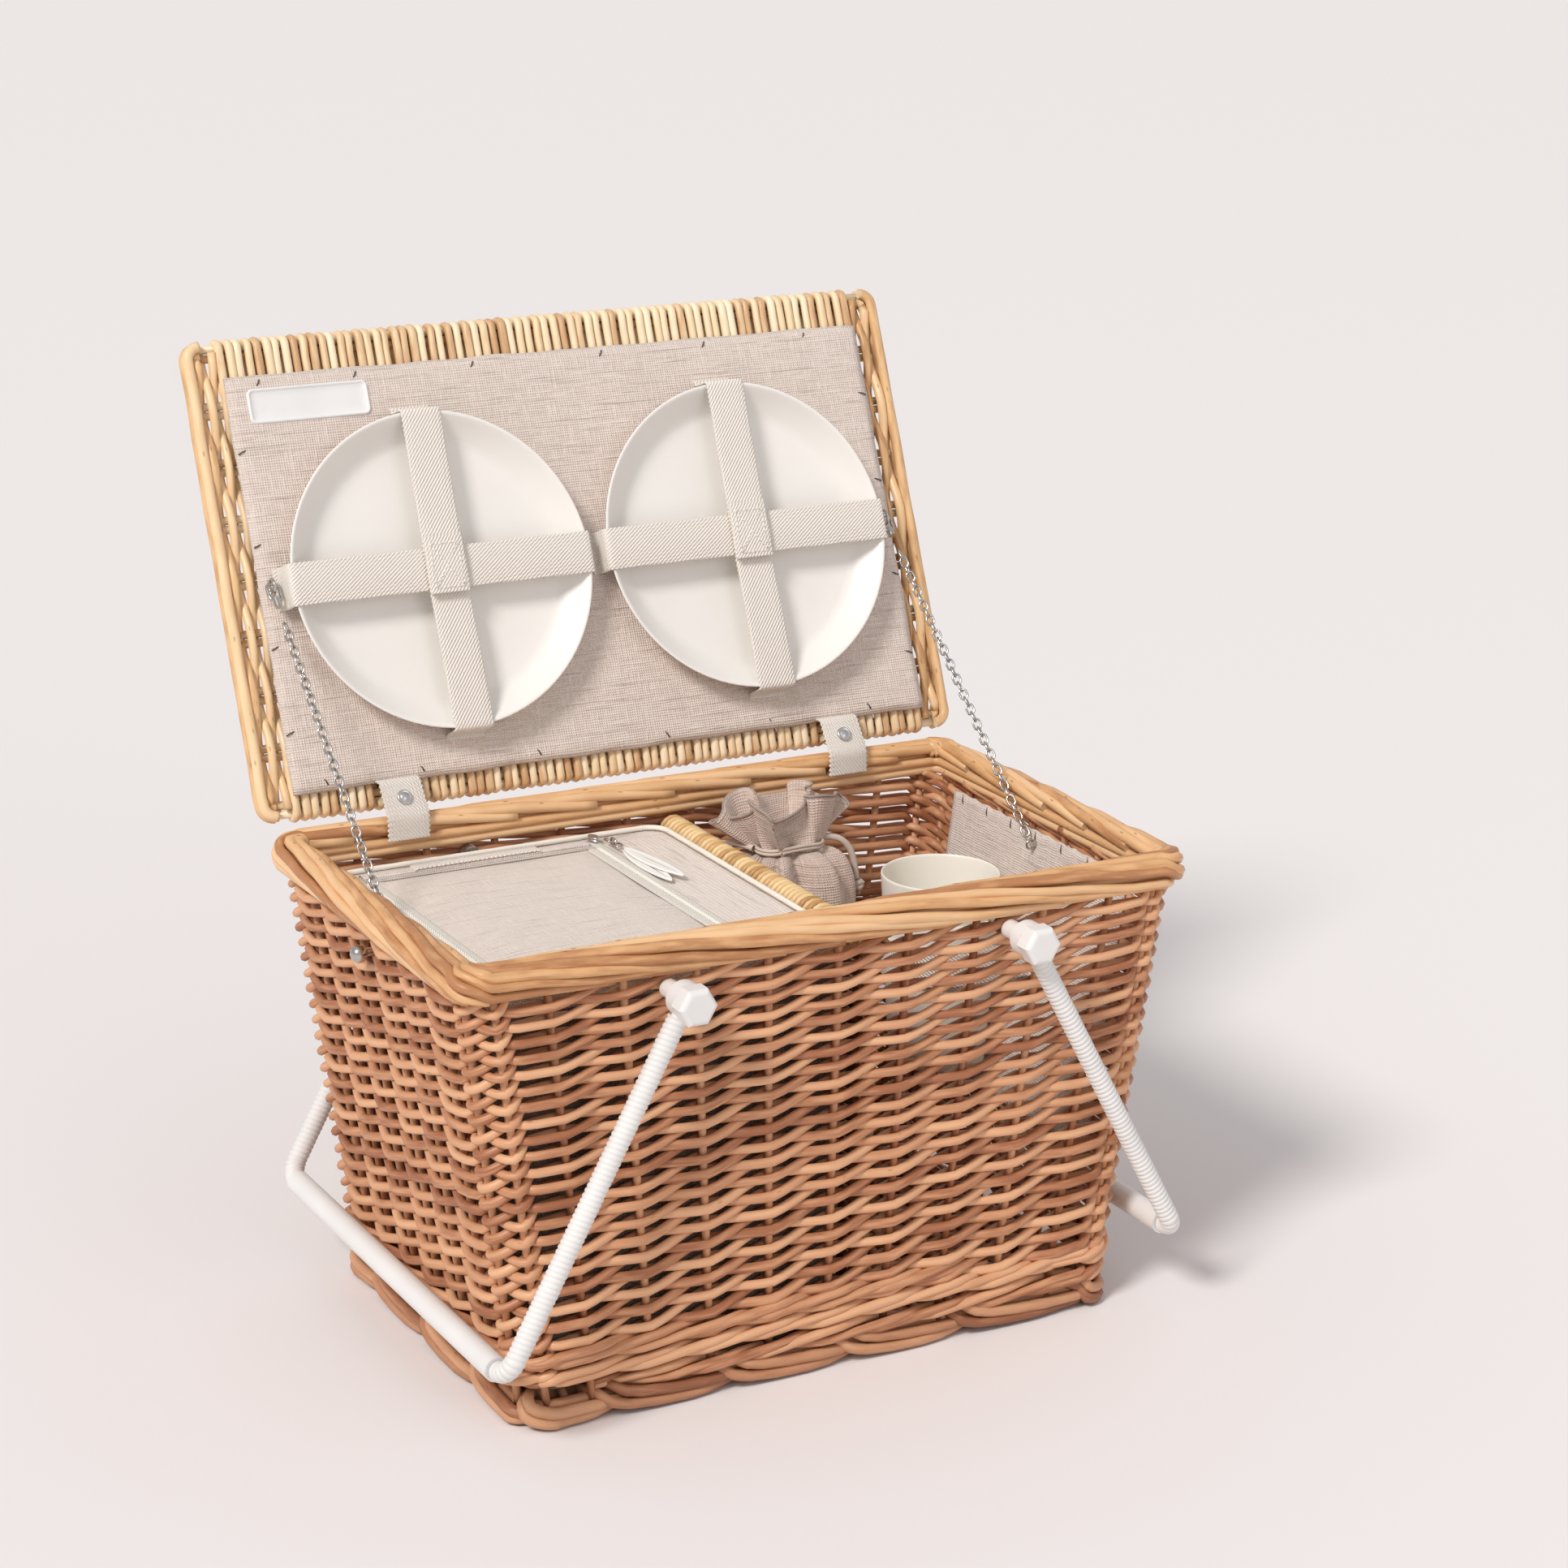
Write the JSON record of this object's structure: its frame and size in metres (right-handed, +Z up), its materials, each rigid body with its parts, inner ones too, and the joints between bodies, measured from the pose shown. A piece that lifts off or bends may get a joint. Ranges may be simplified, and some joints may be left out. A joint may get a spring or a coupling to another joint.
{
  "type": "wicker picnic basket",
  "caption": "Rectangular willow hamper with hinged flat lid, plates strapped inside the lid, insulated bag, cutlery pouch, nested cups and bail handles.",
  "frame": {"origin": "on the floor, at the middle of the underside of the woven base", "axes": "+X along the basket's length to its right end, -Y towards its front, +Z up"},
  "size_m": [0.463, 0.4269, 0.5413],
  "materials": {
    "rim_willow": "satin peeled willow, buff golden",
    "wall_willow": "satin peeled willow, tan brown",
    "lid_willow": "satin peeled willow, pale buff",
    "lid_end_willow": "satin peeled willow, red brown",
    "cane": "close-wound split cane",
    "linen": "slubby plain-weave linen, beige",
    "linen_piping": "smooth cotton piping and zip tape, cream",
    "patch_cloth": "smooth white patch, blank",
    "webbing": "herringbone cotton webbing, cream",
    "plate_melamine": "semi-matt warm white",
    "cup_melamine": "semi-matt warm white",
    "handle_core": "white coated steel rod",
    "handle_wrap": "white round cord, close wound",
    "grip": "white, smooth",
    "cap_nut": "white moulded cap nut",
    "bolt_steel": "zinc-plated steel",
    "chain_metal": "bright plated steel",
    "snap_metal": "plated brass press stud",
    "foam": "closed-cell foam sheet",
    "liner_film": "silver-grey wipe-clean film",
    "pull_tab": "soft white leaf-shaped tab",
    "drawcord": "braided cotton cord, undyed"
  },
  "bodies": {
    "basket": {"rim_border": "rim_willow", "foot_border": "wall_willow", "base_panel": "wall_willow", "front_wall": "wall_willow", "rear_wall": "wall_willow", "left_wall": "wall_willow", "right_wall": "wall_willow", "corner_posts": "wall_willow", "wall_stakes": "wall_willow", "divider_panel": "wall_willow", "divider_bar": "cane", "end_lining": "linen", "cup_loop": "webbing", "handle_bolts": "bolt_steel", "handle_washers": "bolt_steel", "handle_spacers": "cap_nut", "handle_cap_nuts": "cap_nut", "hinge_tabs": "webbing", "hinge_snaps": "snap_metal", "chain_studs": "chain_metal", "chain_left": "chain_metal", "chain_right": "chain_metal"},
    "lid": {"lid_weave": "lid_willow", "lid_stakes": "lid_willow", "lid_end_rods": "lid_end_willow", "lid_linen": "linen", "lid_patch": "patch_cloth", "plate_left": "plate_melamine", "plate_right": "plate_melamine", "straps_across": "webbing", "straps_down": "webbing", "strap_folds": "webbing", "chain_clasps": "chain_metal", "chain_eyelets": "chain_metal"},
    "handle_left": {"handle_left_frame": "handle_core", "handle_left_wraps": "handle_wrap", "handle_left_grip": "grip"},
    "handle_right": {"handle_right_frame": "handle_core", "handle_right_wraps": "handle_wrap", "handle_right_grip": "grip"},
    "cooler": {"cooler_shell": "linen", "cooler_foam": "foam", "cooler_liner": "liner_film", "zipper_bag_tape": "linen_piping", "cooler_piping": "linen_piping", "cooler_binding": "linen_piping", "cooler_tag": "webbing"},
    "cooler_flap": {"cooler_flap": "linen", "zipper_flap_tape": "linen_piping"},
    "zip_slider": {"zipper_slider": "chain_metal", "zipper_pull_chain": "chain_metal", "zipper_pull_tabs": "pull_tab"},
    "pouch": {"pouch_body": "linen", "pouch_ruffle": "linen", "pouch_cord_left": "drawcord", "pouch_cord_right": "drawcord", "pouch_knot_left": "drawcord", "pouch_knot_right": "drawcord"},
    "cup_lower": {"cup_lower": "cup_melamine"},
    "cup_upper": {"cup_upper": "cup_melamine"}
  },
  "joints": [
    {"name": "lid_hinge", "type": "hinge", "parent": "basket", "child": "lid", "pos_m": [0, 0.135, 0.28025], "axis": [-1, 0, 0], "range_deg": [-112.6, 0], "deforming": ["hinge_tabs", "hinge_snaps", "chain_left", "chain_right", "pouch_ruffle"]},
    {"name": "handle_left_pivot", "type": "hinge", "parent": "basket", "child": "handle_left", "pos_m": [-0.106, 0, 0.247], "axis": [0, 1, 0], "range_deg": [0, 150.2]},
    {"name": "handle_right_pivot", "type": "hinge", "parent": "basket", "child": "handle_right", "pos_m": [0.106, 0, 0.247], "axis": [0, -1, 0], "range_deg": [0, 150.2]},
    {"name": "cooler_lift", "type": "slide", "parent": "basket", "child": "cooler", "axis": [0, 0, 1], "range_m": [0, 0.26]},
    {"name": "flap_hinge", "type": "hinge", "parent": "cooler", "child": "cooler_flap", "pos_m": [0, 0.0975, 0.2455], "axis": [-1, 0, 0], "range_deg": [0, 85]},
    {"name": "zip_slide", "type": "slide", "parent": "cooler", "child": "zip_slider", "axis": [0, -1, 0], "range_m": [0, 0.12]},
    {"name": "pouch_lift", "type": "slide", "parent": "basket", "child": "pouch", "axis": [0, 0, 1], "range_m": [0, 0.22]},
    {"name": "cup_lower_lift", "type": "slide", "parent": "basket", "child": "cup_lower", "axis": [0, 0, 1], "range_m": [0, 0.14]},
    {"name": "cup_upper_lift", "type": "slide", "parent": "cup_lower", "child": "cup_upper", "axis": [0, 0, 1], "range_m": [0, 0.12]}
  ],
  "couplings": [
    {"joint": "handle_left_pivot", "follows": "lid_hinge", "ratio": -1.332},
    {"joint": "handle_right_pivot", "follows": "lid_hinge", "ratio": -1.332}
  ]
}
